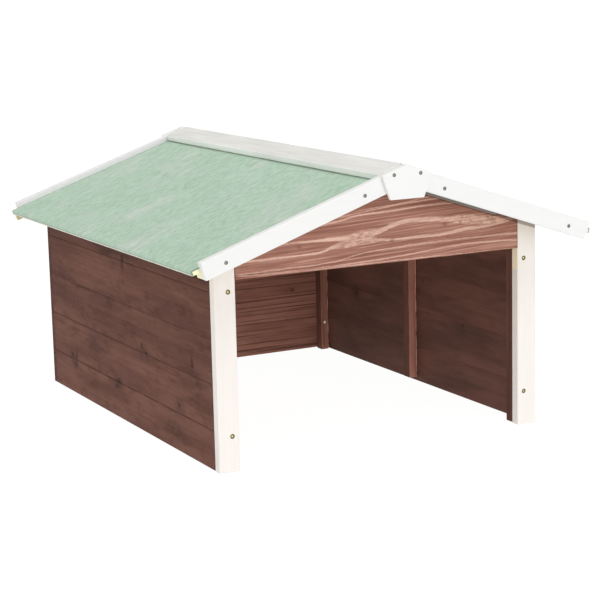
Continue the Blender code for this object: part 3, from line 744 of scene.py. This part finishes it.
def feltSheet(side, looks=feltSheetLooks):
    sign = sides[side]
    (longDown, longAlong), (shortDown, shortAlong) = looks["longSwell"], looks["shortSwell"]
    low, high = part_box(side + "_roof_felt")
    outer, inner = feltSection(looks)
    shape = bmesh.new()
    rows = []
    for step in range(looks["lengthSteps"] + 1):
        y = low.y + (high.y - low.y) * step / looks["lengthSteps"]
        longRag = field.noise(Vector((y * looks["longRag"], 3.0 * sign, 0)))
        shortRag = field.noise(Vector((y * looks["shortRag"], 0, 7)))
        rag = looks["ragged"] * (longRag + 0.5 * shortRag - 0.5)
        row = []
        for line in (outer, inner):
            spots = []
            for run, depth, rippleShare, ragShare in line:
                longSwell = field.noise(Vector((run * longDown, y * longAlong, 5.0 * sign)))
                shortSwell = field.noise(Vector((run * shortDown, y * shortAlong, 2.0)))
                depth += ragShare * rag - looks["ripple"] * rippleShare * (longSwell + 0.6 * shortSwell)
                spots.append(shape.verts.new(slopePoint(sign, run, depth, y)))
            row.append(spots)
        rows.append(row)
    for (outA, inA), (outB, inB) in zip(rows, rows[1:]):
        for i in range(len(outA) - 1):
            shape.faces.new((outA[i], outA[i + 1], outB[i + 1], outB[i]))
            shape.faces.new((inA[i], inB[i], inB[i + 1], inA[i + 1]))
        shape.faces.new((outA[0], outB[0], inB[0], inA[0]))
        shape.faces.new((outA[-1], inA[-1], inB[-1], outB[-1]))
    for outside, inside in (rows[0], rows[-1]):
        for i in range(len(outside) - 1):
            shape.faces.new((outside[i], outside[i + 1], inside[i + 1], inside[i]))
    mesh = finishMesh(side + "_felt_sheet", shape, 50)
    mesh.materials.append(felt)
    piece = newPiece(side + "_felt_sheet", mesh, side + "_roof_felt")


felt = roofingFelt()
for side in sides:
    feltSheet(side)
print("felt is laid")


# Countersunk screws with a cross recess; the head's face is at y = 0 and the point is towards +Y
screwLooks = {
    "turns": 48,
    "headRings": (0.10, 0.18, 0.26, 0.34, 0.42, 0.50, 0.58, 0.68, 0.80, 0.92),
    "recessReach": 0.62,  # of the head's radius
    "recessDepth": 0.42,
    "armHalfWidth": 0.17,
    "dome": 0.05,
    "headDepth": 0.0024,
    "shankRadius": 0.0015,
}


def screwMesh(name, radius, length, looks=screwLooks):
    shape = bmesh.new()
    rings = [(share * radius, None) for share in looks["headRings"]]
    rings += [(radius * 0.985, 0.0), (radius, 0.00015), (radius, 0.0003)]
    shank = looks["shankRadius"]
    rings += [(shank, looks["headDepth"]), (shank, length - 2 * shank)]
    first = shape.verts.new((0, looks["recessDepth"] * radius, 0))
    rows = []
    for size, level in rings:
        row = []
        for i in range(looks["turns"]):
            angle = 2 * math.pi * i / looks["turns"]
            x, z = size * math.cos(angle), size * math.sin(angle)
            y = level
            if level is None:
                share = size / radius
                arm = min(abs(x), abs(z)) / radius
                y = -looks["dome"] * radius * (1 - share ** 2)
                taper = looks["armHalfWidth"] * (1.15 - 0.6 * share)
                if share < looks["recessReach"] and arm < taper:
                    y = looks["recessDepth"] * radius * (1 - (share / looks["recessReach"]) ** 2 * 0.8)
            row.append(shape.verts.new((x, y, z)))
        rows.append(row)
    last = shape.verts.new((0, length, 0))
    turns = looks["turns"]
    for i in range(turns):
        j = (i + 1) % turns
        shape.faces.new((first, rows[0][i], rows[0][j]))
        shape.faces.new((last, rows[-1][j], rows[-1][i]))
        for inner, outer in zip(rows, rows[1:]):
            shape.faces.new((inner[i], outer[i], outer[j], inner[j]))
    return finishMesh(name, shape, 35)


steels = {name: platedSteel(name, looks) for name, looks in steelLooks.items()}
screwMeshes = {}
spin = random.Random(11)
for nodeName in sorted(cadNodes):
    if "_screw" not in nodeName:
        continue
    low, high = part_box(nodeName)
    towards = -1 if nodeName.startswith("rear_plate") or "_rear_barge" in nodeName else 1
    radius, length = (high.x - low.x) / 2, high.y - low.y
    kind = "brassy" if "post" in nodeName else "bright" if "batten" in nodeName else "grey"
    key = (round(radius, 5), round(length, 4))
    if key not in screwMeshes:
        screwMeshes[key] = screwMesh(f"screw_{round(length * 1000)}mm", radius, length)
        screwMeshes[key].materials.append(steels[kind])
    screwName = nodeName.replace("_screw", "_countersunk_screw")
    screw = newPiece(screwName, screwMeshes[key], nodeName)
    screw.location = ((low.x + high.x) / 2, low.y if towards > 0 else high.y, (low.z + high.z) / 2)
    screw.rotation_euler = (0, spin.uniform(0, math.pi / 2), 0 if towards > 0 else math.pi)
print("screws are driven")


# Camera, lights and floor
view = {
    "lens": 106.795,
    "sensor": 36.0,
    "reach": 500.0,
    "yaw": 27.3038,  # in degrees, to the right of straight back
    "pitch": 10.6913,
    "roll": -1.3991,
    "stand": (-1.4209, -2.8114, 0.7861),
}
camera = bpy.data.objects.new("camera", bpy.data.cameras.new("camera"))
bpy.context.scene.collection.objects.link(camera)
camera.data.lens = view["lens"]
camera.data.sensor_width = view["sensor"]
camera.data.clip_end = view["reach"]
camera.location = view["stand"]
yaw, pitch, roll = (math.radians(view[key]) for key in ("yaw", "pitch", "roll"))
forward = Vector((math.sin(yaw) * math.cos(pitch), math.cos(yaw) * math.cos(pitch), -math.sin(pitch)))
rightward = Vector((math.cos(yaw), -math.sin(yaw), 0))
upward = rightward.cross(forward)
tiltedRight = rightward * math.cos(roll) + upward * math.sin(roll)
tiltedUp = upward * math.cos(roll) - rightward * math.sin(roll)
camera.rotation_euler = Matrix((tiltedRight, tiltedUp, -forward)).transposed().to_euler()
bpy.context.scene.camera = camera

lighting = {
    "sky": 0.45,
    "overhead": {"from": (0.0, -0.25, 1.0), "strength": 0.46, "spread": 60},
    "low": {"from": (0.10, -0.97, 0.22), "strength": 0.27, "spread": 35},
    "side": {"from": (-1.0, 0.05, 0.12), "strength": 0.16, "spread": 40},
    "floorGlow": 0.97,
    "floorShade": 0.09,
    "floorReach": 150.0,
}


def addSun(name, looks):  # the strength is how bright it makes a white sheet that faces it
    lamp = bpy.data.lights.new(name, "SUN")
    lamp.energy = looks["strength"] * math.pi
    lamp.angle = math.radians(looks["spread"])
    holder = bpy.data.objects.new(name, lamp)
    bpy.context.scene.collection.objects.link(holder)
    holder.rotation_euler = Vector(looks["from"]).to_track_quat("Z", "Y").to_euler()


for name in ("overhead", "low", "side"):
    addSun(name, lighting[name])

world = bpy.data.worlds.new("studio")
bpy.context.scene.world = world
world.use_nodes = True
sky = world.node_tree
sky.nodes["Background"].inputs["Strength"].default_value = lighting["sky"]
sky.nodes["Background"].inputs["Color"].default_value = (1, 1, 1, 1)
seen = addNode(sky, "Background", {"Color": (1, 1, 1, 1), "Strength": 1.0})
either = addNode(sky, "MixShader", {0: addNode(sky, "LightPath").outputs["Is Camera Ray"]})
sky.links.new(sky.nodes["Background"].outputs[0], either.inputs[1])
sky.links.new(seen.outputs[0], either.inputs[2])
sky.links.new(either.outputs[0], sky.nodes["World Output"].inputs["Surface"])

reach = lighting["floorReach"]
corners = [(-reach, -reach, 0), (reach, -reach, 0), (reach, reach, 0), (-reach, reach, 0)]
floorMesh = bpy.data.meshes.new("floor")
floorMesh.from_pydata(corners, [], [(0, 1, 2, 3)])
floor = bpy.data.objects.new("floor", floorMesh)
bpy.context.scene.collection.objects.link(floor)
paper = bpy.data.materials.new("floor_paper")
paper.use_nodes = True
paperShader = paper.node_tree.nodes["Principled BSDF"]
paperShader.inputs["Base Color"].default_value = (lighting["floorShade"],) * 3 + (1,)
paperShader.inputs["Roughness"].default_value = 0.9
paperShader.inputs["Specular IOR Level"].default_value = 0.1
paperShader.inputs["Emission Color"].default_value = (1, 1, 1, 1)
paperShader.inputs["Emission Strength"].default_value = lighting["floorGlow"]
floorMesh.materials.append(paper)
bpy.context.scene.view_settings.view_transform = "Standard"
print("camera, lights and floor are up")
